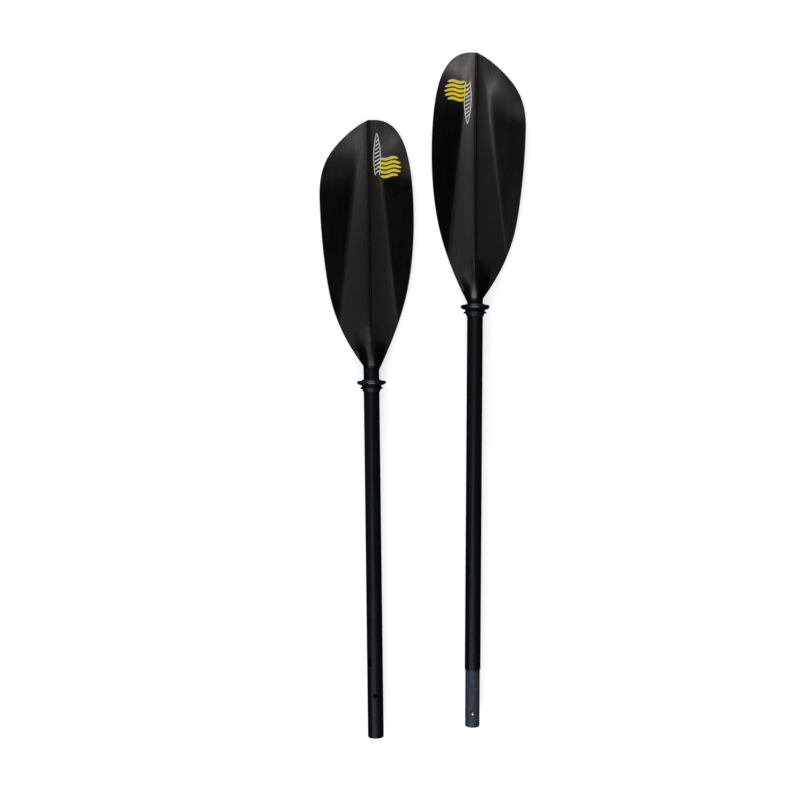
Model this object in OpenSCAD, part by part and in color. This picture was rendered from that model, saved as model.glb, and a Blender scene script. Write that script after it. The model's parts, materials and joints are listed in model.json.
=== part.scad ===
// Two-piece kayak paddle, its halves lying apart side by side with their power faces up.
// The shafts' axes are level. The paddle lies on its two drip rings and on the backs of its blades.
// +Y runs along the female shaft from its open end to its blade, and +Z is up.

/* [Shafts] */
// Outside diameter of both shafts
shaft_d = 29.4; // [29:0.1:31]
// Length of each shaft, from its joint end to the blade
shaft_l = 682; // [620:2:760]
// Bore of the shafts away from the joint
bore_d = 26.4; // [25:0.1:26.6]

/* [Joint] */
// Bore of the reamed stretch at each shaft's joint end
socket_d = 27.1; // [26.8:0.05:27.4]
// Depth of that reamed stretch
socket_depth = 125; // [120:1:135]
// Length of ferrule that stands out of the male shaft
ferrule_out = 106; // [100:1:115]
// Length of ferrule glued into the male shaft
ferrule_in = 118; // [100:1:118]
// Bore of the ferrule
ferrule_bore_d = 24; // [23.6:0.1:24.4]
// Distance from the shaft's end to the button or its hole
button_reach = 79; // [70:1:85]
// Diameter of the snap button
button_d = 6.6; // [6:0.1:6.8]
// Diameter of the button's hole in the female shaft
button_hole_d = 8; // [7.6:0.1:9]
// How far the button stands out of the ferrule
button_proud = 3.3; // [2.6:0.1:3.6]

/* [Blades] */
// Length of each blade, from its neck to its tip
blade_l = 468; // [430:2:480]
// Width of each blade
blade_w = 176; // [165:1:185]
// Thickness of the blade's panels
blade_skin = 3.2; // [2.8:0.1:4]
// Radius of the blade's lengthwise curve
spoon_r = 1300; // [1200:10:1500]
// Height of the ridge above the valleys beside it
ridge_rise = 3.5; // [3:0.5:6]
// Height of the blade's edges above the valleys
edge_rise = 12; // [8:0.5:15]

/* [Drip rings] */
// Diameter of the large flange
ring_d = 54.4; // [50:0.2:60]
// Distance from the female blade's neck to its ring's large flange
female_ring_drop = 22; // [8:1:60]
// The same distance on the male half
male_ring_drop = 7; // [7:1:60]

/* [Layout] */
// Sideways distance from the female shaft's end to the male shaft's end
half_pitch = 182; // [175:1:220]
// How far the male shaft's end lies up from the female one's
male_lead = 123.5; // [110:0.5:160]
// Angle by which the male half leans away from the female half
male_lean = 1.1; // [0:0.1:2]

/* [Hidden] */
$fn = 64;

shaft_r = shaft_d / 2;
ring_r = ring_d / 2;
slip = 0.05; // radial clearance of a part that slides or is glued in a bore
ferrule_r = socket_d / 2 - slip;

// Blade outline, drawn at its nominal size as [out from the ridge, up from the neck]
nominal_l = 460;
nominal_w = 176;
sloped_side_w = 93;
widest_at = 320;
flat_tip_w = 12;
sloped_knee = 8; // where each side leaves the straight neck
round_knee = 1.5;
sloped_side = [
    [[shaft_r, sloped_knee], [17.5, 14], [58, 62], [74.5, 130]],
    [[74.5, 130], [83.2, 165], [sloped_side_w, 250], [sloped_side_w, widest_at]],
    [[sloped_side_w, widest_at], [93, 372], [78, 398], [57, 420]],
    [[57, 420], [39, 438], [20, 452], [0, nominal_l]]
];
round_side = [
    [[shaft_r, round_knee], [22, 16.5], [50, 75], [65, 130]],
    [[65, 130], [76, 170], [83, 225], [83, 284]],
    [[83, 284], [83, 335], [78, 388], [66, 418]],
    [[66, 418], [58, 437], [44, nominal_l], [flat_tip_w, nominal_l]]
];
curve_steps = 7;
width_scale = blade_w / nominal_w;
length_scale = blade_l / nominal_l;

// Blade cross-section, as distances out from the ridge
valley_at = 42;
edge_at = 110;
spine_extra = 2.6; // how much thicker the blade is under its ridge
edge_skin = 2.2;
belly_at = 230; // where the back is lowest, from the neck
spoon_half_angle = 13;
spoon_fn = 720; // a fine division, because the curve's radius is so long

neck_l = 10;
fairing_l = 100;
fairing_drop = 11;
fairing_end_r = 6;
tang_l = 60;

clip_w = 7;
clip_t = 0.8;
clip_top = 9.6; // height of the clip's upper leg above the ferrule's axis
clip_bottom = 11.35;
clip_bend_r = 3;
clip_bend_back = 52; // from the button to the bend
clip_flat = 7; // half length of the level ends of the legs
button_top = ferrule_r + button_proud;
button_flange_r = 4.2;
button_dome_r = 4.4;
button_gap = 0.3;

slot_reach = 139;
slot_l = 16;
slot_w = 7;
slot_turn = 42; // how far round the shaft the slot lies

plug_l = 40;
plug_reach = 152;

// The origin is under the middle of the box round both halves
right_edge = half_pitch + (shaft_l + widest_at * length_scale) * sin(male_lean)
           + sloped_side_w * width_scale * cos(male_lean);
left_edge = -sloped_side_w * width_scale;
far_edge = male_lead + (shaft_l + blade_l) * cos(male_lean)
         + flat_tip_w * width_scale * sin(male_lean);
origin_x = (right_edge + left_edge) / 2;
origin_y = far_edge / 2;

function bezier(p, steps) = [
    for (i = [0 : steps - 1])
        let (t = i / steps, u = 1 - t)
        u * u * u * p[0] + 3 * u * u * t * p[1] + 3 * u * t * t * p[2] + t * t * t * p[3]
];
function side_points(side) = [for (piece = side) each bezier(piece, curve_steps)];
function arc(centre, r, from, to) = [
    for (i = [0 : curve_steps])
        let (a = from + (to - from) * i / curve_steps)
        centre + r * [cos(a), sin(a)]
];
function reversed(points) = [for (i = [len(points) - 1 : -1 : 0]) points[i]];

// Each half is drawn with its shaft's joint end at the origin and its blade up +Y
module place_female() {
    translate([-origin_x, -origin_y, ring_r]) children();
}

module place_male() {
    translate([half_pitch - origin_x, male_lead - origin_y, ring_r])
        rotate([0, 0, -male_lean]) children();
}

// A solid drawn up +Z, laid along +Y
module lay() {
    rotate([-90, 0, 0]) children();
}

// A rod along +Y from one distance to another
module rod(r, from, to) {
    translate([0, from, 0]) lay() cylinder(r = r, h = to - from);
}

module blade_outline() {
    left = [for (p = side_points(sloped_side)) [-p[0], p[1]]];
    right = reversed(side_points(round_side));
    tip = [[0, nominal_l], [flat_tip_w, nominal_l]];
    neck = [[shaft_r, 0], [-shaft_r, 0]];
    polygon(concat(left, tip, right, neck));
}

// The panels: a W-shaped section swept round a far axis above the blade
module blade_panels() {
    valley_r = spoon_r + ridge_rise;
    edge_r = valley_r - edge_rise * (edge_at - valley_at) / (nominal_w / 2 - valley_at);
    section = [
        [edge_r, -edge_at],
        [valley_r, -valley_at],
        [spoon_r, 0],
        [valley_r, valley_at],
        [edge_r, edge_at],
        [edge_r + edge_skin, edge_at],
        [valley_r + blade_skin, valley_at],
        [spoon_r + blade_skin + spine_extra, 0],
        [valley_r + blade_skin, -valley_at],
        [edge_r + edge_skin, -edge_at]
    ];
    translate([0, belly_at, valley_r + blade_skin - ring_r])
        rotate([0, 90, 0])
        rotate([0, 0, -spoon_half_angle])
        rotate_extrude(angle = 2 * spoon_half_angle, $fn = spoon_fn) polygon(section);
}

// The round neck runs down into the panels as a tapering boss
module blade_fairing() {
    rod(shaft_r, 0, neck_l);
    translate([0, neck_l / 2, 0])
        rotate([-atan(fairing_drop / fairing_l), 0, 0])
        lay() cylinder(r1 = shaft_r, r2 = fairing_end_r, h = fairing_l);
}

module blade() {
    translate([0, shaft_l, 0]) {
        intersection() {
            translate([0, 0, -2 * ring_r]) linear_extrude(4 * ring_r)
                scale([width_scale, length_scale]) blade_outline();
            blade_panels();
        }
        blade_fairing();
        rod(bore_d / 2 - slip, -tang_l, neck_l / 2);
    }
}

module shaft_tube() {
    difference() {
        rod(shaft_r, 0, shaft_l);
        rod(bore_d / 2, 0, shaft_l + 1);
        rod(socket_d / 2, -1, socket_depth);
    }
}

module drip_ring(drop) {
    rim_r = 2;
    lip_r = 1.3;
    lip_out = ring_r - 5.7;
    translate([0, shaft_l - drop, 0]) lay() rotate_extrude() polygon(concat(
        [[shaft_r + slip, 5.5], [16.2, 5.5]],
        arc([ring_r - rim_r, 0], rim_r, 75, -55),
        [[lip_out - 1.8, -7.8]],
        arc([lip_out - lip_r, -10.8], lip_r, 60, -80),
        [[16.6, -13.4], [15.4, -18], [shaft_r + slip, -18]]
    ));
}

module float_plug() {
    rod(bore_d / 2 - slip, plug_reach, plug_reach + plug_l);
}

module female_blade() {
    color("#1c1c1c") place_female() blade();
}

module female_shaft() {
    color("#20242b") place_female() difference() {
        shaft_tube();
        translate([0, button_reach, 0]) cylinder(d = button_hole_d, h = 2 * shaft_r);
        rotate([0, -slot_turn, 0]) for (end = [-1, 1]) {
            translate([0, slot_reach + end * (slot_l - slot_w) / 2, 0])
                cylinder(d = slot_w, h = 2 * shaft_r);
        }
        rotate([0, -slot_turn, 0])
            translate([-slot_w / 2, slot_reach - (slot_l - slot_w) / 2, 0])
            cube([slot_w, slot_l - slot_w, 2 * shaft_r]);
    }
}

module female_drip_ring() {
    color("#141c2b") place_female() drip_ring(female_ring_drop);
}

module female_float_plug() {
    color("#c8c4b8") place_female() float_plug();
}

module male_blade() {
    color("#1c1c1c") place_male() mirror([1, 0, 0]) blade();
}

module male_shaft() {
    color("#20242b") place_male() shaft_tube();
}

module male_drip_ring() {
    color("#141c2b") place_male() drip_ring(male_ring_drop);
}

module male_float_plug() {
    color("#c8c4b8") place_male() float_plug();
}

module male_ferrule() {
    tip_chamfer = 1.5;
    color("#4a525c") place_male() difference() {
        union() {
            rod(ferrule_r, -ferrule_out + tip_chamfer, ferrule_in);
            translate([0, -ferrule_out, 0]) lay()
                cylinder(r1 = ferrule_r - tip_chamfer / 2, r2 = ferrule_r, h = tip_chamfer);
        }
        rod(ferrule_bore_d / 2, -ferrule_out - 1, ferrule_in + 1);
        translate([0, -button_reach, 0])
            cylinder(r = button_d / 2 + button_gap, h = 2 * shaft_r);
    }
}

// The clip in side view: two level ends, two slopes and the bend between them
module spring_clip() {
    bend = [clip_bend_back, 0];
    inner_r = clip_bend_r - clip_t;
    color("#9a9da1") place_male() translate([-clip_w / 2, -button_reach, 0])
        rotate([90, 0, 90]) linear_extrude(clip_w) polygon(concat(
            [[-clip_flat, clip_top - clip_t], [-clip_flat, clip_top], [clip_flat, clip_top]],
            arc(bend, clip_bend_r, 90, -90),
            [[clip_flat, -clip_bottom], [-clip_flat, -clip_bottom]],
            [[-clip_flat, clip_t - clip_bottom], [clip_flat, clip_t - clip_bottom]],
            arc(bend, inner_r, -90, 90),
            [[clip_flat, clip_top - clip_t]]
        ));
}

module snap_button() {
    flange_t = 1.2;
    color("#d5d7da") place_male() translate([0, -button_reach, 0]) {
        translate([0, 0, clip_top]) cylinder(r = button_flange_r, h = flange_t);
        intersection() {
            translate([0, 0, clip_top]) cylinder(d = button_d, h = button_top - clip_top);
            translate([0, 0, button_top - button_dome_r]) union() {
                sphere(button_dome_r);
                translate([0, 0, -2 * button_dome_r])
                    cylinder(r = button_dome_r, h = 2 * button_dome_r);
            }
        }
    }
}

female_blade();
female_shaft();
female_drip_ring();
female_float_plug();
male_blade();
male_shaft();
male_drip_ring();
male_float_plug();
male_ferrule();
spring_clip();
snap_button();
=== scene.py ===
import json
import math

import bmesh
import bpy
import numpy as np
from mathutils import Matrix, Vector


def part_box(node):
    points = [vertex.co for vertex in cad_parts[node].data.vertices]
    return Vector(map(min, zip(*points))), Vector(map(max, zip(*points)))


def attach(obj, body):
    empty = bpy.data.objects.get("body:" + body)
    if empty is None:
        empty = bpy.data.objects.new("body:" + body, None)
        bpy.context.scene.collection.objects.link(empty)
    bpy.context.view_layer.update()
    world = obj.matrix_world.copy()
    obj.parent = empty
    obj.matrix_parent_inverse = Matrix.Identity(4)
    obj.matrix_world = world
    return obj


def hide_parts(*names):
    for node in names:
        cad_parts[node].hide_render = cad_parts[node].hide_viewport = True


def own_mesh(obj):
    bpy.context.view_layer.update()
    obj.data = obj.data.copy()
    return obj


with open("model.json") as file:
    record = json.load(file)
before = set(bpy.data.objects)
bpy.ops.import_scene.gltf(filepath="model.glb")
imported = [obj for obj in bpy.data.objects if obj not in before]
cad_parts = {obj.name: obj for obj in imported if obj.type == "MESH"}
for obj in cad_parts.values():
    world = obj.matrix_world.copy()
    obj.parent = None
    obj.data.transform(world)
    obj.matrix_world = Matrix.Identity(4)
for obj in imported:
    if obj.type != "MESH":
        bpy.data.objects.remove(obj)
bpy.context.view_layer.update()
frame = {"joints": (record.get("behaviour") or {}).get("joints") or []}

MM = 0.001

# ---------------------------------------------------------------- driving sizes, in millimetres
# Each half has its own axes: the shaft's joint end at the origin, its blade up +Y, its power face up +Z.
# A reach is a distance from the joint end.
SHAFT_R = 14.7
SHAFT_L = 682
BORE_R = 13.2
SOCKET_R = 13.55
SOCKET_DEPTH = 125
RING_R = 27.2
FERRULE_R = 13.5
FERRULE_BORE_R = 12
FERRULE_OUT = 106
FERRULE_IN = 118
BUTTON_REACH = 79
BUTTON_HOLE_R = 4
BUTTON_R = 3.3
BUTTON_TOP = 16.8
BUTTON_SEAT = 9.6               # height of the button's underside, which rests on the spring clip
CLIP_DROP = 11.35               # how far the spring clip reaches below the axis
SLOT_REACH = 139
SLOT_L = 16
SLOT_W = 7
SLOT_TURN = 42
PLUG_REACH = 152
PLUG_L = 40
RING_DROPS = {"female": 22, "male": 7}      # from the shaft's blade end down to the ring's flange
SHARP_ANGLE = 35                # edges that turn more than this, in degrees, stay sharp
TUBE_SEGMENTS = 128
SMALL_SEGMENTS = 64

# Blade outline from the neck, as Bezier pieces of [out from the ridge, up from the neck]
BLADE_L = 468
NOMINAL_L = 460                 # the length that the outline's points are given for


def to_length(pieces):
    """The pieces stretched along the blade to its real length."""
    return [[(x, s * BLADE_L / NOMINAL_L) for x, s in piece] for piece in pieces]


SLOPED_SIDE = to_length([
    [(14.7, 8), (17.5, 14), (58, 62), (74.5, 130)],
    [(74.5, 130), (83.2, 165), (93, 250), (93, 320)],
    [(93, 320), (93, 372), (78, 398), (57, 420)],
    [(57, 420), (39, 438), (20, 452), (0, NOMINAL_L)],
])
ROUND_SIDE = to_length([
    [(14.7, 1.5), (22, 16.5), (50, 75), (65, 130)],
    [(65, 130), (76, 170), (83, 225), (83, 284)],
    [(83, 284), (83, 335), (78, 388), (66, 418)],
    [(66, 418), (58, 437), (44, NOMINAL_L), (12, NOMINAL_L)],
])

# Blade section
SPOON_R = 1300                  # radius of the ridge line's long curve
BELLY_AT = 230                  # where the back is lowest, from the neck
RIDGE_RISE = 3.5                # least height of the ridge over the floor, less the skin
SKIN = 3.2
EDGE_SKIN = 2.4
SPINE_EXTRA = 2.4               # what the skin gains from the valley to the ridge
INNER_SLOPE = 0.072             # mean fall from the ridge to the valley
INNER_CURVE = 1.7               # above 1, the inner panels are steep by the ridge and flat by the valley
OUTER_SLOPE = 0.31
TIP_SLOPE = -0.03
TIP_EASE = (330, 450)           # where the outer panels go from OUTER_SLOPE to TIP_SLOPE
VALLEY_SOFTNESS = 0.9
SLOPED_VALLEY = (69.9, 0.114)   # distance from the ridge at the neck, and how fast it closes
ROUND_VALLEY = (60.2, 0.101)
BEAD_H = 0.5
BEAD_W = 1.4
BEAD_EASE = (30, 90)            # where the bead rises to its height
RIM_ROUND = 1.3
RIM_EASE = 30                   # how far in from the rim the skin comes to its full thickness

# The round neck runs out into the face as a boss, with a thin flat pad on it, and into the back as a
# spine
NECK_L = 6
NECK_EASE = (NECK_L, 36)        # where the neck's oval turns into the blade's section
NECK_STEP = 0.35                # the small step between the shaft's end and the neck
BOSS_L = 100
BOSS_FADE = 2.2                 # power by which the boss runs out
BOSS_FILLET_W = 44
PAD_L = 80
PAD_H = 0.3
PAD_W = 12
PAD_EASE = 0.8                  # half the width of the pad's sloped edge
SPINE_L = 200
SPINE_FADE = 1.8                # power by which the spine runs out
SPINE_END_W = 6
SPINE_SIDE = 3                  # how steeply the spine's side goes into the back
SPINE_SOFTNESS = 2.0
TANG_L = 60
TANG_R = 13.15

# Printed marks. Their centres are [out from the ridge, up from the neck], and a leaf's way is the
# side that its pointed end lies on: 1 for the tip, -1 for the neck.
MARKS = {
    "female": {"disc": (38, 382), "leaf": (15.5, 406), "way": 1},
    "male": {"disc": (37, 400), "leaf": (15.5, 378), "way": -1},
}
DISC_R = 23
WAVE_GAP = 8
WAVE_PITCH = 30
WAVE_SWING = 1.6
WAVE_W = 5.2
LEAF_W = 13
LEAF_L = 76
LEAF_START = 0.16               # how much of the leaf's curve is cut off at its broad end
LEAF_LINE_W = 1.2
VEINS = 9
VEIN_START = 0.08               # shares of the leaf's length
VEIN_STEP = 0.092
VEIN_GAP = 1.6                  # from a vein's end to the leaf's side
VEIN_RISE = 2.6                 # half of what a vein climbs from side to side
VEIN_W = 1.7
# Strength of the inks' emission: painted light that makes the print look brighter than the lamps light it
INK_PAINTED_GLOW = 0.22


# ---------------------------------------------------------------- where the halves lie
def half_places():
    """Each half's own axes in the shared frame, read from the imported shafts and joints."""
    low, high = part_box("female_shaft")
    female = Matrix.Translation(((low.x + high.x) / 2, low.y, (low.z + high.z) / 2))
    axis = next(j["axis"] for j in frame["joints"] if j["name"] == "ferrule_insert")
    lean = math.atan2(-axis[0], -axis[1])
    low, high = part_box("male_shaft")
    r = (high.z - low.z) / 2
    corner = (low.x + r * math.cos(lean), low.y + r * math.sin(lean), (low.z + high.z) / 2)
    male = Matrix.Translation(corner) @ Matrix.Rotation(-lean, 4, "Z")
    return {"female": female, "male": male}


PLACES = half_places()
MATERIALS = {}


# ---------------------------------------------------------------- mesh helpers
def make_object(name, verts, faces, unit=MM, join=1e-7, outward=True):
    """An object from points in some unit, with those closer than join made one."""
    mesh = bpy.data.meshes.new(name)
    mesh.from_pydata([Vector(v) * unit for v in verts], [], faces)
    bm = bmesh.new()
    bm.from_mesh(mesh)
    bmesh.ops.remove_doubles(bm, verts=bm.verts, dist=join)
    bmesh.ops.dissolve_degenerate(bm, edges=bm.edges, dist=join)
    if outward:
        bmesh.ops.recalc_face_normals(bm, faces=bm.faces)
    bm.to_mesh(mesh)
    bm.free()
    obj = bpy.data.objects.new(name, mesh)
    bpy.context.scene.collection.objects.link(obj)
    return obj


def make_piece(name, verts, faces, half, body, material, replaces=(), sharp=SHARP_ANGLE):
    """A mesh in one half's axes, in millimetres, becomes a piece that rides on a body."""
    obj = make_object(name, verts, faces)
    obj.matrix_world = PLACES[half]
    smooth(obj, sharp)
    obj.data.materials.append(MATERIALS[material])
    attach(obj, body)
    if replaces:
        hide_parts(*replaces)
    return obj


def smooth(obj, sharp):
    """Smooth shading, but not over edges that turn more than sharp degrees."""
    for polygon in obj.data.polygons:
        polygon.use_smooth = True
    obj.data.set_sharp_from_angle(angle=math.radians(sharp))


def rounded(corners, steps=5):
    """A closed outline of (a, b, radius) corners, with an arc at each corner that has a radius."""
    out = []
    for i, (a, b, r) in enumerate(corners):
        here = Vector((a, b))
        if r == 0:
            out.append(tuple(here))
            continue
        before = Vector(corners[i - 1][:2]) - here
        after = Vector(corners[(i + 1) % len(corners)][:2]) - here
        half = before.angle(after) / 2
        run = r / math.tan(half)
        start = here + before.normalized() * run
        end = here + after.normalized() * run
        centre = here + (before.normalized() + after.normalized()).normalized() * (r / math.sin(half))
        from_c = start - centre
        turn = from_c.angle_signed(end - centre)
        for k in range(steps + 1):
            t = -turn * k / steps
            c, s = math.cos(t), math.sin(t)
            out.append((centre.x + from_c.x * c - from_c.y * s, centre.y + from_c.x * s + from_c.y * c))
    return out


def ring_faces(count, n):
    """Faces from each of count rings of n points to the next ring."""
    faces = []
    for i in range(count - 1):
        for k in range(n):
            m = (k + 1) % n
            faces.append((i * n + k, i * n + m, (i + 1) * n + m, (i + 1) * n + k))
    return faces


def end_faces(count, n):
    """The two faces that close the first and the last of count rings of n points."""
    return [tuple(range(n)), tuple(range((count - 1) * n, count * n))]


def lathe(profile, segments):
    """A closed outline of (radius, y) turned round the Y axis."""
    n = len(profile)
    verts = []
    faces = []
    for i in range(segments):
        a = 2 * math.pi * i / segments
        verts += [(r * math.sin(a), y, r * math.cos(a)) for r, y in profile]
        j = (i + 1) % segments
        for k in range(n):
            m = (k + 1) % n
            faces.append((i * n + k, i * n + m, j * n + m, j * n + k))
    return verts, faces


def stadium(length, r, steps=12):
    """A slot's outline along Y, or a circle where length is 0."""
    out = []
    for end in (1, -1):
        for k in range(steps + 1):
            a = math.pi * k / steps + (0 if end > 0 else math.pi)
            out.append((r * math.cos(a), end * length / 2 + r * math.sin(a)))
    return out


def cut_hole(obj, half, y, length, r, surface_r, turn=0):
    """Cuts a hole with a broken edge through the upper wall of a tube that lies along Y."""
    bottom = 4                  # between the tube's axis and the wall
    edge_depth = 0.5
    clear = 1.0                 # how far the cut goes on above the wall
    widening = 1.2
    levels = [(bottom, 0), (surface_r - edge_depth, 0), (surface_r + clear, widening)]
    rings = [[(px, py, z) for px, py in stadium(length, r + grow)] for z, grow in levels]
    n = len(rings[0])
    verts = [v for ring in rings for v in ring]
    cutter = make_object("cutter", verts, end_faces(len(rings), n) + ring_faces(len(rings), n))
    local = Matrix.Rotation(math.radians(turn), 4, "Y") @ Matrix.Translation((0, y * MM, 0))
    cutter.matrix_world = PLACES[half] @ local
    modifier = obj.modifiers.new("hole", "BOOLEAN")
    modifier.object = cutter
    modifier.operation = "DIFFERENCE"
    modifier.solver = "EXACT"
    bpy.context.view_layer.update()
    graph = bpy.context.evaluated_depsgraph_get()
    holed = bpy.data.meshes.new_from_object(obj.evaluated_get(graph))
    obj.modifiers.clear()
    obj.data = holed
    bpy.data.objects.remove(cutter)
    smooth(obj, SHARP_ANGLE)


# ---------------------------------------------------------------- blade shape
# x is the distance from the ridge, below 0 on the sloped side, and s the distance up from the neck
def smoothstep(x, low, high):
    """0 below low, 1 above high, and an easy rise between them."""
    t = np.clip((x - low) / (high - low), 0, 1)
    return t * t * (3 - 2 * t)


def soft_min(a, b, w):
    """The smaller of a and b, blended where they come within w of each other."""
    h = np.clip(0.5 + 0.5 * (b - a) / w, 0, 1)
    return b * (1 - h) + a * h - w * h * (1 - h)


def bezier(points, steps=24):
    """Points along a cubic Bezier curve."""
    p = np.array(points, float)
    t = np.linspace(0, 1, steps + 1)[:, None]
    u = 1 - t
    return u**3 * p[0] + 3 * u * u * t * p[1] + 3 * u * t * t * p[2] + t**3 * p[3]


def walk(points, share):
    """Points at shares of a polyline's length."""
    steps = np.linalg.norm(np.diff(points, axis=0), axis=1)
    along = np.concatenate([[0], np.cumsum(steps)])
    at = np.asarray(share) * along[-1]
    return np.stack([np.interp(at, along, points[:, i]) for i in (0, 1)], axis=-1)


def side_and_tip(pieces):
    """One side of the outline up to its corner, and the tip edge from the ridge out to that corner."""
    side = np.concatenate([[(SHAFT_R, 0)]] + [bezier(p) for p in pieces[:3]])
    tip = np.concatenate([[(0, BLADE_L)], bezier(pieces[3])[::-1]])
    return side, tip


def valley_at(x, s):
    """How far from the ridge the valley lies at s, on x's side. The sloped side has x below 0."""
    sloped = SLOPED_VALLEY[0] - SLOPED_VALLEY[1] * s
    round_ = ROUND_VALLEY[0] - ROUND_VALLEY[1] * s
    return np.where(x < 0, sloped, round_)


def spoon(drop, s):
    """Height of a surface that lies drop below the ridge line, along the spoon's radius."""
    centre = SPOON_R + RIDGE_RISE + SKIN - RING_R
    return centre - np.sqrt((SPOON_R + drop) ** 2 - (s - BELLY_AT) ** 2)


def panel_face(x, s):
    """Height of the W-shaped face: two inner panels falling from the ridge, two outer ones rising."""
    u = np.abs(x)
    valley = valley_at(x, s)
    rise = OUTER_SLOPE + (TIP_SLOPE - OUTER_SLOPE) * smoothstep(s, *TIP_EASE)
    share = np.clip(u / valley, 0, 1)
    inner = INNER_SLOPE * valley * (1 - (1 - share) ** INNER_CURVE) + INNER_SLOPE * (u - share * valley)
    outer = INNER_SLOPE * valley - rise * (u - valley)
    return spoon(soft_min(inner, outer, VALLEY_SOFTNESS), s)


def boss_height(s):
    """How far the boss's top line stands above the ridge line."""
    start = SHAFT_R - spoon(0, 0.0)
    neck = spoon(0, 0.0) - spoon(0, np.clip(s, 0, NECK_L))
    run = np.clip((s - NECK_L) / (BOSS_L - NECK_L), 0, 1)
    return (start + neck) * (1 - run) ** BOSS_FADE


def spine_height(s):
    """How far the spine's line stands out of the back."""
    start = SHAFT_R + spoon(0, 0.0) - SKIN - SPINE_EXTRA
    return start * np.clip(1 - s / SPINE_L, 0, 1) ** SPINE_FADE


def arch(x, width):
    """Half an ellipse: 1 in the middle, 0 at width from it."""
    return np.sqrt(np.clip(1 - (x / width) ** 2, 0, 1))


def blade_sections(x, s, rim_x, edge_gap):
    """Upper and lower heights at x, s, where rim_x is the row's half width and edge_gap is the distance
    to the outline."""
    ridge = spoon(0, s)
    face = panel_face(x, s)
    bead = BEAD_H * np.exp(-((x / BEAD_W) ** 2)) * smoothstep(s, *BEAD_EASE)
    by_ridge = np.clip(1 - np.abs(x) / valley_at(x, s), 0, 1)
    from_rim = np.clip(edge_gap / RIM_EASE, 0, 1)
    back = face - (EDGE_SKIN + (SKIN - EDGE_SKIN) * from_rim + SPINE_EXTRA * by_ridge)

    boss_w = SHAFT_R + (BOSS_FILLET_W - SHAFT_R) * np.clip(s / BOSS_L, 0, 1)
    boss = boss_height(s) * arch(x, boss_w) ** 3
    pad_side = smoothstep(PAD_W - np.abs(x), -PAD_EASE, PAD_EASE)
    pad_end = smoothstep(PAD_L - s, -PAD_EASE, PAD_EASE)
    pad = PAD_H * pad_side * pad_end
    spine_w = SHAFT_R + (SPINE_END_W - SHAFT_R) * np.clip(s / SPINE_L, 0, 1)
    spine_base = ridge - SKIN - SPINE_EXTRA
    beside = np.clip(np.abs(x) - spine_w, 0, None)
    spine = spine_base - spine_height(s) * arch(x, spine_w) + SPINE_SIDE * beside
    upper = face + boss + pad + bead
    lower = np.where(s > SPINE_L, back, soft_min(back, spine, SPINE_SOFTNESS))

    # The rim is rounded
    close = np.clip(edge_gap, 0, RIM_ROUND) / RIM_ROUND
    part = np.sqrt(np.clip(1 - (1 - close) ** 2, 0, 1))
    middle = (upper + lower) / 2
    upper = middle + (upper - middle) * part
    lower = middle + (lower - middle) * part

    # Near the neck the section is an oval with the same top and bottom lines
    top_line = ridge + boss_height(s)
    low_line = spine_base - spine_height(s)
    oval = arch(x, np.maximum(rim_x, 1e-6))
    oval_mid = (top_line + low_line) / 2
    oval_half = (top_line - low_line) / 2
    flat = smoothstep(s, *NECK_EASE)
    upper = (1 - flat) * (oval_mid + oval_half * oval) + flat * upper
    lower = (1 - flat) * (oval_mid - oval_half * oval) + flat * lower
    return upper, lower


def column_shares(rim_x, s):
    """Shares of a half row, from the ridge to the rim: close together at the bead and at the rim, and
    with one at about the valley."""
    near = np.array([0, 0.6, 1.2, 1.9, 3.0])
    rim = rim_x - np.array([3.6, 2.2, 1.2, 0.5, 0.12, 0])
    valley = min(valley_at(1.0, s), rim_x - 9)
    inner = np.linspace(near[-1], max(valley, near[-1] + 1.5), 9)[1:]
    outer = np.linspace(inner[-1], rim[0] - 1.2, 13)[1:]
    return np.concatenate([near, inner, outer, rim]) / rim_x


def row_shares():
    """Where the rows lie along the blade, as shares of its length: closer at the boss and the tip."""
    neck = np.linspace(0, 30, 13)
    boss = np.arange(33, PAD_L - 3, 3)
    pad_end = np.linspace(PAD_L - 3, PAD_L + 3, 9)
    body = np.arange(PAD_L + 7, BLADE_L - 8, 5)
    tip = BLADE_L - np.array([5.5, 3.6, 2.2, 1.2, 0.5, 0.12, 0])
    return np.concatenate([neck, boss, pad_end, body, tip]) / BLADE_L


def half_row(pieces, v):
    """Plan points of a half row at share v, from the ridge out to the rim. Rows bend as the tip's edge
    does, the more so the nearer they are to it."""
    side, tip = side_and_tip(pieces)
    rim = walk(side, v)
    shares = column_shares(rim[0], BLADE_L * v)
    straight = np.outer(1 - shares, (0, BLADE_L * v)) + np.outer(shares, rim)
    corner_line = np.outer(1 - shares, tip[0]) + np.outer(shares, tip[-1])
    return straight + (walk(tip, shares) - corner_line) * v**6


def outline_gap(points):
    """Distance of plan points from the blade's outline, with the sloped side at x below 0."""
    left = np.concatenate([bezier(p) for p in SLOPED_SIDE]) * (-1, 1)
    right = np.concatenate([bezier(p) for p in ROUND_SIDE])[::-1]
    line = np.concatenate([[(-SHAFT_R, 0)], left, right, [(SHAFT_R, 0)]])
    a = line[:-1]
    d = np.diff(line, axis=0)
    keep = np.einsum("ij,ij->i", d, d) > 1e-9
    a, d = a[keep], d[keep]
    rel = points[:, None, :] - a[None]
    t = np.clip(np.einsum("pij,ij->pi", rel, d) / np.einsum("ij,ij->i", d, d), 0, 1)
    return np.linalg.norm(rel - t[..., None] * d[None], axis=2).min(1)


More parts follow.
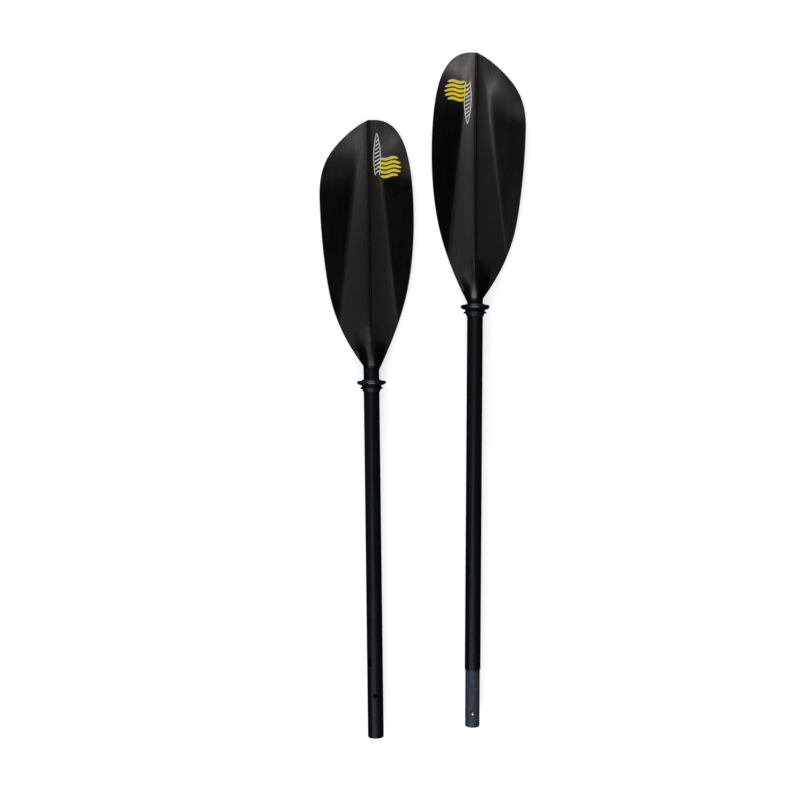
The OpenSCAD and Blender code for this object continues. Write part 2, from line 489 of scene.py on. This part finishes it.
def blade_rings():
    """Closed rings of vertices from the tang's end to the tip."""
    rings = []
    for v in row_shares():
        left = half_row(SLOPED_SIDE, v)[::-1] * (-1, 1)
        right = half_row(ROUND_SIDE, v)[1:]
        plan = np.concatenate([left, right])
        rim_x = np.concatenate([np.full(len(left), -left[0, 0]), np.full(len(right), right[-1, 0])])
        upper, lower = blade_sections(plan[:, 0], plan[:, 1], rim_x, outline_gap(plan))
        top = np.column_stack([plan, upper])
        bottom = np.column_stack([plan, lower])[-2:0:-1]
        rings.append(np.concatenate([top, bottom]))
    neck = rings[0]
    tang = []
    for s, r in [(-TANG_L, TANG_R - 1), (1 - TANG_L, TANG_R), (0, TANG_R), (0, SHAFT_R - NECK_STEP)]:
        ring = neck * (r / SHAFT_R, 1, r / SHAFT_R)
        ring[:, 1] = s
        tang.append(ring)
    rings[0] = neck + (0, NECK_STEP, 0)
    return tang + rings


def make_blade(half, mirror):
    """One blade, from its tang in the shaft to its tip. The last ring is the tip's edge itself."""
    rings = blade_rings()
    n = len(rings[0])
    verts = np.concatenate(rings) * (mirror, 1, 1) + (0, SHAFT_L, 0)
    faces = [tuple(range(n))] + ring_faces(len(rings), n)
    name = half + "_blade_shell"
    make_piece(name, verts, faces, half, half + "_half", "nylon", [half + "_blade"])


# ---------------------------------------------------------------- printed graphics
def draped_ribbon(line, widths, mirror, lift=0.12, deep=0.3):
    """A thin printed stroke: a line in plan with a width at each point, laid on the blade's face."""
    line = np.array(line, float)
    tangent = np.gradient(line, axis=0)
    tangent /= np.linalg.norm(tangent, axis=1)[:, None]
    across = np.column_stack([-tangent[:, 1], tangent[:, 0]])
    lanes = np.linspace(-0.5, 0.5, 5)
    far_rim = np.full(len(lanes), 90.0)     # the marks lie clear of the rounded rim
    far_edge = np.full(len(lanes), 40.0)
    rows = []
    for p, c, w in zip(line, across, widths):
        plan = p + np.outer(lanes * w, c)
        upper, _ = blade_sections(plan[:, 0], plan[:, 1], far_rim, far_edge)
        top = np.column_stack([plan, upper + lift])
        bottom = np.column_stack([plan, upper - deep])[::-1]
        rows.append(np.concatenate([top, bottom]))
    n = len(rows[0])
    verts = np.concatenate(rows) * (mirror, 1, 1) + (0, SHAFT_L, 0)
    return verts, end_faces(len(rows), n) + ring_faces(len(rows), n)


def join_shapes(shapes):
    """One list of points and one of faces from several shapes."""
    verts = []
    faces = []
    for v, f in shapes:
        start = len(verts)
        verts += [tuple(p) for p in v]
        faces += [tuple(i + start for i in face) for face in f]
    return verts, faces


def wave(cx, cs, length):
    """A wave across the blade with rounded ends, as a line and its widths."""
    t = np.linspace(-0.5, 0.5, 40)
    height = WAVE_SWING * np.sin(2 * math.pi * t * length / WAVE_PITCH)
    line = np.column_stack([cx + t * length, cs + height])
    return line, WAVE_W * np.sqrt(np.clip(1 - (2 * np.abs(t)) ** 4, 0.004, 1))


def leaf_reach(along):
    """Half the leaf's width at a share of its length, from its broad end to its point."""
    return LEAF_W / 2 * np.sin(math.pi * (LEAF_START + (1 - LEAF_START) * along)) ** 0.8


def print_piece(name, strokes, half, mirror, ink):
    """Strokes of one ink, laid on the blade as one piece."""
    verts, faces = join_shapes([draped_ribbon(line, widths, mirror) for line, widths in strokes])
    make_piece(f"{half}_{name}", verts, faces, half, half + "_half", ink, sharp=30)


def make_graphics(half, mirror):
    """Generic marks: a disc of yellow waves, and a slender white leaf with slanted veins."""
    disc = MARKS[half]["disc"]
    leaf = MARKS[half]["leaf"]
    way = MARKS[half]["way"]
    waves = []
    for row in range(-2, 3):
        offset = row * WAVE_GAP
        chord = 2 * math.sqrt(DISC_R**2 - offset**2)
        waves.append(wave(disc[0], disc[1] + offset, chord))
    print_piece("wave_print", waves, half, mirror, "yellow_ink")
    strokes = []
    along = np.linspace(0, 1, 40)
    for side in (-1, 1):
        height = way * LEAF_L * (along - 0.5)
        line = np.column_stack([leaf[0] + side * leaf_reach(along), leaf[1] + height])
        strokes.append((line, np.full(len(line), LEAF_LINE_W)))
    t = np.linspace(-1, 1, 8)
    for k in range(VEINS):
        at = VEIN_START + VEIN_STEP * k
        reach = leaf_reach(at) - VEIN_GAP
        height = way * (LEAF_L * (at - 0.5) + VEIN_RISE * t)
        line = np.column_stack([leaf[0] + reach * t, leaf[1] + height])
        strokes.append((line, np.full(len(t), VEIN_W)))
    print_piece("leaf_print", strokes, half, mirror, "white_ink")


# ---------------------------------------------------------------- tubes, rings and fittings
def make_shaft(half):
    """A tube with a wider socket at its joint end. The female one has the button's hole and the slot."""
    end_round = 0.45
    socket_step = 0.6
    profile = rounded([
        (SHAFT_R, 0, end_round), (SHAFT_R, SHAFT_L, 0.35), (BORE_R, SHAFT_L, 0.2),
        (BORE_R, SOCKET_DEPTH + socket_step, 0), (SOCKET_R, SOCKET_DEPTH, 0), (SOCKET_R, 0, end_round),
    ])
    verts, faces = lathe(profile, TUBE_SEGMENTS)
    obj = make_piece(half + "_tube", verts, faces, half, half + "_half", "shaft",
                     [half + "_shaft"])
    if half == "female":
        cut_hole(obj, half, BUTTON_REACH, 0, BUTTON_HOLE_R, SHAFT_R)
        cut_hole(obj, half, SLOT_REACH, SLOT_L - SLOT_W, SLOT_W / 2, SHAFT_R, -SLOT_TURN)


def make_ring(half):
    """Drip ring: a large flange with a fat rim, a groove, a lower lip and a tapered cuff."""
    y = SHAFT_L - RING_DROPS[half]
    bore_r = SHAFT_R + 0.05
    profile = rounded([
        (bore_r, 5.6, 0.3), (16.4, 5.6, 0.7), (18.6, 3.7, 3.0),
        # The rim: the arc in its outermost corner comes to about RING_R
        (RING_R - 1.5, 3.1, 2.2), (RING_R + 0.38, 0.2, 2.0), (RING_R - 2.2, -3.4, 1.6),
        # The groove and the lower lip
        (18.2, -5.6, 1.4), (18.4, -8.2, 0.9), (RING_R - 5.6, -9.6, 0.9),
        (RING_R - 6.2, -11.7, 0.8), (17.4, -12.6, 1.2),
        # The cuff
        (15.7, -17.6, 0.5), (bore_r, -18, 0.15),
    ])
    verts, faces = lathe([(r, y + dy) for r, dy in profile], TUBE_SEGMENTS)
    body = half + "_ring"
    make_piece(half + "_ring_moulding", verts, faces, half, body, "rubber",
               [half + "_drip_ring"])


def make_ferrule():
    """The male half's ferrule: a tube with a tapered end, and a hole for the button."""
    taper_w = 0.9
    taper_l = 2.0
    button_gap = 0.3
    profile = rounded([
        (FERRULE_R, FERRULE_IN, 0.3), (FERRULE_BORE_R, FERRULE_IN, 0.3),
        (FERRULE_BORE_R, -FERRULE_OUT, 0.5), (FERRULE_R - taper_w, -FERRULE_OUT, 0.5),
        (FERRULE_R, taper_l - FERRULE_OUT, 0.8),
    ])
    verts, faces = lathe(profile, TUBE_SEGMENTS)
    obj = make_piece("male_ferrule_tube", verts, faces, "male", "male_half", "ferrule",
                     ["male_ferrule"])
    cut_hole(obj, "male", -BUTTON_REACH, 0, BUTTON_R + button_gap, FERRULE_R)


def upright(verts, y):
    """Turns a shape lathed round Y into one that stands along Z at y."""
    return [(v[0], y - v[2], v[1]) for v in verts]


def make_button():
    """The snap button: a pin with a domed end, on a flange that stays under the ferrule's wall."""
    flange_r = 4.2
    flange_top = BUTTON_SEAT + 1.2
    profile = rounded([
        (0, BUTTON_SEAT, 0), (flange_r, BUTTON_SEAT, 0.3), (flange_r, flange_top, 0.4),
        (BUTTON_R, flange_top, 0.15),
        (BUTTON_R, BUTTON_TOP - 1.1, 0.9), (1.6, BUTTON_TOP - 0.12, 1.6), (0, BUTTON_TOP, 0),
    ])
    verts, faces = lathe(profile, SMALL_SEGMENTS)
    make_piece("snap_button_dome", upright(verts, -BUTTON_REACH), faces, "male", "button", "button_steel",
               ["snap_button"])


def make_clip():
    """The V spring under the button: a strip that runs out from the button, bends round and comes back."""
    width = 7.0
    thick = 0.8
    top = BUTTON_SEAT - thick / 2
    low = CLIP_DROP - thick / 2
    flat = 7.0                  # half the length of each leaf's level end
    bend = 52.0                 # from the button to the bend's centre
    bend_r = 2.6
    bend_angle = 82             # the bend turns this far each way from its middle
    bend_steps = 12
    line = [(-flat, top), (flat * 0.6, top), (flat, top - 0.08), (flat + 3, top - 0.5)]
    for k in range(bend_steps + 1):
        a = math.radians(bend_angle - 2 * bend_angle * k / bend_steps)
        line.append((bend + bend_r * math.cos(a), bend_r * math.sin(a)))
    line += [(flat + 3, 0.55 - low), (flat, 0.08 - low), (flat * 0.6, -low), (-flat, -low)]
    line = np.array(line)
    tangent = np.gradient(line, axis=0)
    tangent /= np.linalg.norm(tangent, axis=1)[:, None]
    out = np.column_stack([-tangent[:, 1], tangent[:, 0]])
    edge = 0.18
    section = rounded([
        (-width / 2, -thick / 2, edge), (width / 2, -thick / 2, edge),
        (width / 2, thick / 2, edge), (-width / 2, thick / 2, edge),
    ], steps=3)
    n = len(section)
    verts = []
    for p, o in zip(line, out):
        verts += [(a, p[0] + o[0] * b - BUTTON_REACH, p[1] + o[1] * b) for a, b in section]
    faces = end_faces(len(line), n) + ring_faces(len(line), n)
    obj = make_piece("spring_clip_strip", verts, faces, "male", "male_half", "spring_steel",
                     ["spring_clip"])
    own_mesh(obj)


def make_plug(half):
    """The foam plug that closes a shaft's bore."""
    body = "female_half" if half == "female" else "male_plug"
    r = BORE_R - 0.05
    edge = 1.2
    profile = rounded([
        (0, PLUG_REACH, 0), (r, PLUG_REACH, edge), (r, PLUG_REACH + PLUG_L, edge),
        (0, PLUG_REACH + PLUG_L, 0),
    ])
    verts, faces = lathe(profile, SMALL_SEGMENTS)
    make_piece(half + "_foam_plug", verts, faces, half, body, "foam",
               [half + "_float_plug"])


# ---------------------------------------------------------------- materials
def material(name, colour=None, roughness=None, metallic=0.0, specular=0.5):
    """A new material with the values that no pattern drives. finish_material links the patterns in."""
    mat = bpy.data.materials.new(name)
    mat.use_nodes = True
    shader = mat.node_tree.nodes["Principled BSDF"]
    if colour:
        shader.inputs["Base Color"].default_value = (*colour, 1)
    if roughness:
        shader.inputs["Roughness"].default_value = roughness
    shader.inputs["Metallic"].default_value = metallic
    shader.inputs["Specular IOR Level"].default_value = specular
    MATERIALS[name] = mat
    return mat.node_tree, shader


def noise(tree, scale, stretch=(1, 1, 1), detail=4.0, rough=0.55):
    """Noise in the piece's own axes. scale is per metre, stretch divides it along each axis."""
    coords = tree.nodes.new("ShaderNodeTexCoord")
    mapping = tree.nodes.new("ShaderNodeMapping")
    mapping.inputs["Scale"].default_value = [1 / f for f in stretch]
    texture = tree.nodes.new("ShaderNodeTexNoise")
    texture.inputs["Scale"].default_value = scale
    texture.inputs["Detail"].default_value = detail
    texture.inputs["Roughness"].default_value = rough
    tree.links.new(coords.outputs["Object"], mapping.inputs["Vector"])
    tree.links.new(mapping.outputs["Vector"], texture.inputs["Vector"])
    return texture.outputs["Fac"]


def spread(tree, value, low, high, at=(0.35, 0.65)):
    """A pattern's values from at[0] to at[1], turned into values from low to high."""
    node = tree.nodes.new("ShaderNodeMapRange")
    node.inputs["From Min"].default_value = at[0]
    node.inputs["From Max"].default_value = at[1]
    node.inputs["To Min"].default_value = low
    node.inputs["To Max"].default_value = high
    tree.links.new(value, node.inputs["Value"])
    return node.outputs["Result"]


def tint(tree, value, low, high, at=(0.35, 0.65)):
    """A pattern's values from at[0] to at[1], turned into colours from low to high."""
    ramp = tree.nodes.new("ShaderNodeValToRGB")
    ramp.color_ramp.elements[0].position = at[0]
    ramp.color_ramp.elements[0].color = (*low, 1)
    ramp.color_ramp.elements[1].position = at[1]
    ramp.color_ramp.elements[1].color = (*high, 1)
    tree.links.new(value, ramp.inputs["Fac"])
    return ramp.outputs["Color"]


def bump(tree, height, strength, distance, under=None):
    """A normal from a pattern's height, over another normal where one is given. distance is in metres."""
    node = tree.nodes.new("ShaderNodeBump")
    node.inputs["Strength"].default_value = strength
    node.inputs["Distance"].default_value = distance
    tree.links.new(height, node.inputs["Height"])
    if under:
        tree.links.new(under, node.inputs["Normal"])
    return node.outputs["Normal"]


def finish_material(tree, shader, colour=None, roughness=None, normal=None):
    """Links the patterns that a material has into its shader."""
    for socket, value in (("Base Color", colour), ("Roughness", roughness), ("Normal", normal)):
        if value:
            tree.links.new(value, shader.inputs[socket])


def nylon_material():
    """Black glass-filled nylon: a fine moulded grain and long faint flow marks."""
    tree, shader = material("nylon")
    flow = noise(tree, 60, (1, 9, 1), 3)
    grain = noise(tree, 1400, detail=5)
    blotch = noise(tree, 22, detail=3)
    colour = tint(tree, blotch, (0.0008, 0.0008, 0.0010), (0.0020, 0.0019, 0.0019))
    rough = spread(tree, flow, 0.24, 0.31)
    normal = bump(tree, grain, 0.35, 0.00006, bump(tree, flow, 0.25, 0.0002))
    finish_material(tree, shader, colour, rough, normal)


def shaft_material():
    """Wound composite, ground smooth: fibres show as faint streaks along it."""
    tree, shader = material("shaft")
    fibre = noise(tree, 900, (1, 40, 1), 4)
    grind = noise(tree, 700, (6, 0.5, 6), 3)
    colour = tint(tree, fibre, (0.0014, 0.0022, 0.0036), (0.0034, 0.0050, 0.0078))
    rough = spread(tree, fibre, 0.32, 0.42)
    normal = bump(tree, fibre, 0.3, 0.00005, bump(tree, grind, 0.15, 0.00004))
    finish_material(tree, shader, colour, rough, normal)


def ferrule_material():
    """Ground composite: rings left by the grinding and a mottled grey-blue."""
    tree, shader = material("ferrule")
    grind = noise(tree, 1600, (12, 1, 12), 4)
    mottle = noise(tree, 160, (1, 2.5, 1), 5)
    colour = tint(tree, mottle, (0.038, 0.052, 0.074), (0.064, 0.084, 0.116))
    rough = spread(tree, grind, 0.42, 0.6)
    normal = bump(tree, grind, 0.4, 0.00006)
    finish_material(tree, shader, colour, rough, normal)


def rubber_material():
    """Soft navy rubber with a faint bloom."""
    tree, shader = material("rubber")
    bloom = noise(tree, 90, detail=4)
    grain = noise(tree, 2200, detail=3)
    colour = tint(tree, bloom, (0.003, 0.007, 0.016), (0.006, 0.012, 0.028))
    rough = spread(tree, bloom, 0.26, 0.36)
    finish_material(tree, shader, colour, rough, bump(tree, grain, 0.3, 0.00005))


def steel_material(name, colour, stretch):
    """Brushed steel, with the brush marks drawn out along stretch."""
    tree, shader = material(name, colour, metallic=1.0)
    brush = noise(tree, 2500, stretch, 4)
    rough = spread(tree, brush, 0.2, 0.38)
    finish_material(tree, shader, None, rough, bump(tree, brush, 0.3, 0.00003))


def foam_material():
    """Closed-cell foam: small round cells, cut through at the surface."""
    tree, shader = material("foam", roughness=0.85, specular=0.25)
    coords = tree.nodes.new("ShaderNodeTexCoord")
    cells = tree.nodes.new("ShaderNodeTexVoronoi")
    cells.inputs["Scale"].default_value = 900
    tree.links.new(coords.outputs["Object"], cells.inputs["Vector"])
    colour = tint(tree, cells.outputs["Distance"], (0.5, 0.48, 0.42), (0.7, 0.68, 0.62), (0.1, 0.6))
    finish_material(tree, shader, colour, None, bump(tree, cells.outputs["Distance"], 0.6, 0.0005))


def ink_material(name, dark, light):
    """Screen-printed ink, a little uneven, with a faint painted glow that makes it brighter than the lamps
    alone make it.
    """
    tree, shader = material(name, roughness=0.45)
    cover = noise(tree, 420, detail=5)
    grain = noise(tree, 3000, detail=2)
    colour = tint(tree, cover, dark, light, (0.3, 0.5))
    finish_material(tree, shader, colour, None, bump(tree, grain, 0.2, 0.00003))
    # Painted light: the ink glows a little in its light colour, so the print reads brighter
    shader.inputs["Emission Color"].default_value = (*light, 1)
    shader.inputs["Emission Strength"].default_value = INK_PAINTED_GLOW


def make_materials():
    """Every material that a piece names."""
    nylon_material()
    shaft_material()
    ferrule_material()
    rubber_material()
    steel_material("button_steel", (0.66, 0.66, 0.67), (1, 1, 1))
    steel_material("spring_steel", (0.52, 0.53, 0.55), (1, 14, 1))
    foam_material()
    ink_material("yellow_ink", (0.72, 0.52, 0.02), (0.86, 0.68, 0.03))
    ink_material("white_ink", (0.66, 0.66, 0.64), (0.84, 0.84, 0.83))


# ---------------------------------------------------------------- studio, in metres
FLOOR_GLOW = 0.72
WORLD_COLOUR = (0.8, 0.88, 1.0)
WORLD_GLOW = 0.012
NEUTRAL = (1, 1, 1)
WARM = (1, 0.93, 0.86)
COOL = (0.8, 0.95, 1.2)
PANEL_Z = 2.4
WIDE = 180
NARROW = 9
# Name, place, where it points, size, radiance, colour and the beam's angle in degrees. The lights at
# PANEL_Z are what the blades and shafts mirror to the camera, each tip by a narrow beam of its own. The
# end lights lie outside of that.
LIGHTS = [
    ("panel_blades", (-0.56, 0.55, PANEL_Z), (-0.56, 0.55, 0), (0.4, 1.3), 0.42, NEUTRAL, WIDE),
    ("panel_throats", (-0.12, 1.1, PANEL_Z), (-0.12, 1.1, 0), (0.36, 1.1), 1.15, WARM, WIDE),
    ("panel_middle", (-0.1, 0.1, PANEL_Z), (-0.1, 0.1, 0), (0.4, 1.0), 0.22, NEUTRAL, WIDE),
    ("panel_right", (0.68, 0.8, PANEL_Z), (0.68, 0.8, 0), (0.34, 0.7), 0.7, WARM, WIDE),
    ("throat_left", (-0.95, 1.6, PANEL_Z), (-0.95, 1.6, 0), (0.7, 0.7), 1.6, WARM, WIDE),
    ("throat_right", (0.9, 1.45, PANEL_Z), (0.9, 1.45, 0), (0.5, 0.4), 0.4, WARM, WIDE),
    ("panel_shafts", (-0.75, -0.6, PANEL_Z), (-0.75, -0.6, 0), (0.5, 1.2), 1.9, COOL, WIDE),
    ("panel_low", (-0.1, -1.5, PANEL_Z), (-0.1, -1.5, 0), (0.6, 0.8), 1.5, COOL, WIDE),
    ("corner_low", (-1.9, -2.1, PANEL_Z), (-0.2, -0.2, 0), (0.9, 0.8), 3.0, COOL, WIDE),
    ("corner_high", (-1.9, 2.5, PANEL_Z), (-0.2, 0.3, 0), (0.9, 0.8), 1.7, NEUTRAL, WIDE),
    ("end_low", (-0.2, -3.1, 1.6), (0, -0.1, 0), (2.4, 1.0), 6.0, NEUTRAL, WIDE),
    ("end_high", (-0.2, 3.5, 1.6), (0, 0.3, 0), (2.4, 1.0), 6.0, NEUTRAL, WIDE),
    ("side_left", (-3.4, 0.0, 1.2), (0, 0, 0), (1.0, 4.0), 0.15, COOL, WIDE),
    ("side_right", (3.4, 0.0, 1.2), (0, 0, 0), (1.0, 4.0), 0.06, NEUTRAL, WIDE),
    ("male_tip", (0.06, 0.68, PANEL_Z), (0.05, 0.64, 0), (0.3, 0.3), 36.0, WARM, NARROW),
    ("female_tip", (-0.40, 0.38, PANEL_Z), (-0.16, 0.52, 0), (0.3, 0.3), 14.0, WARM, NARROW),
]


def make_floor():
    """A round pale floor that rises into a backdrop a long way off."""
    flat_r = 5.0
    curve_r = 3.0
    curve_steps = 12
    wall_top = 9.0
    profile = [(0.0, 0.0), (flat_r, 0.0)]
    for k in range(1, curve_steps + 1):
        a = math.radians(90 * k / curve_steps)
        profile.append((flat_r + curve_r * math.sin(a), curve_r - curve_r * math.cos(a)))
    profile.append((flat_r + curve_r, wall_top))
    segments = 96
    verts = []
    faces = []
    n = len(profile)
    for i in range(segments):
        a = 2 * math.pi * i / segments
        verts += [(r * math.cos(a), r * math.sin(a), z) for r, z in profile]
        j = (i + 1) % segments
        for k in range(n - 1):
            faces.append((i * n + k, j * n + k, j * n + k + 1, i * n + k + 1))
    floor = make_object("studio_floor", verts, faces, unit=1, join=1e-5, outward=False)
    for polygon in floor.data.polygons:
        polygon.use_smooth = True
    _, shader = material("floor", (0.8, 0.8, 0.8), 0.9, specular=0.0)
    shader.inputs["Emission Color"].default_value = (1, 1, 1, 1)
    shader.inputs["Emission Strength"].default_value = FLOOR_GLOW
    floor.data.materials.append(MATERIALS["floor"])
    floor.visible_glossy = False
    floor.visible_diffuse = False


def make_light(name, place, target, size, radiance, colour, beam):
    """A soft rectangular light, given by how bright its face is."""
    data = bpy.data.lights.new(name, "AREA")
    data.shape = "RECTANGLE"
    data.size, data.size_y = size
    data.color = colour
    half_beam = math.radians(beam) / 2
    data.spread = 2 * half_beam
    narrowing = 1 - half_beam / math.tan(half_beam)    # a narrow beam's face is brighter for its power
    data.energy = radiance * math.pi * size[0] * size[1] * narrowing
    light = bpy.data.objects.new(name, data)
    bpy.context.scene.collection.objects.link(light)
    light.location = place
    light.rotation_euler = (Vector(target) - Vector(place)).to_track_quat("-Z", "Y").to_euler()


def make_lights():
    """A faint glow from all round, and the lights of the table."""
    world = bpy.data.worlds.new("studio")
    world.use_nodes = True
    background = world.node_tree.nodes["Background"]
    background.inputs["Color"].default_value = (*WORLD_COLOUR, 1)
    background.inputs["Strength"].default_value = WORLD_GLOW
    bpy.context.scene.world = world
    for light in LIGHTS:
        make_light(*light)


def make_camera():
    """Looks straight down on the two halves, with the picture turned a little. Sizes are in millimetres."""
    view_width = 1492.4
    height = 1870
    turn = -0.7116              # degrees
    centre = Vector((-47.9, -10.1, RING_R))
    data = bpy.data.cameras.new("camera")
    data.sensor_width = 36
    data.lens = data.sensor_width * height / view_width
    camera = bpy.data.objects.new("camera", data)
    bpy.context.scene.collection.objects.link(camera)
    camera.location = (centre + Vector((0, 0, height))) * MM
    camera.rotation_euler = (0, 0, math.radians(turn))
    bpy.context.scene.camera = camera


def main():
    """The two halves, the fittings between them and the studio."""
    make_materials()
    mirrors = {"female": 1, "male": -1}
    for half, mirror in mirrors.items():
        make_blade(half, mirror)
        make_shaft(half)
        make_ring(half)
        make_plug(half)
    make_ferrule()
    make_button()
    make_clip()
    for half, mirror in mirrors.items():
        make_graphics(half, mirror)
    make_floor()
    make_lights()
    make_camera()
    bpy.context.scene.view_settings.view_transform = "Standard"


main()
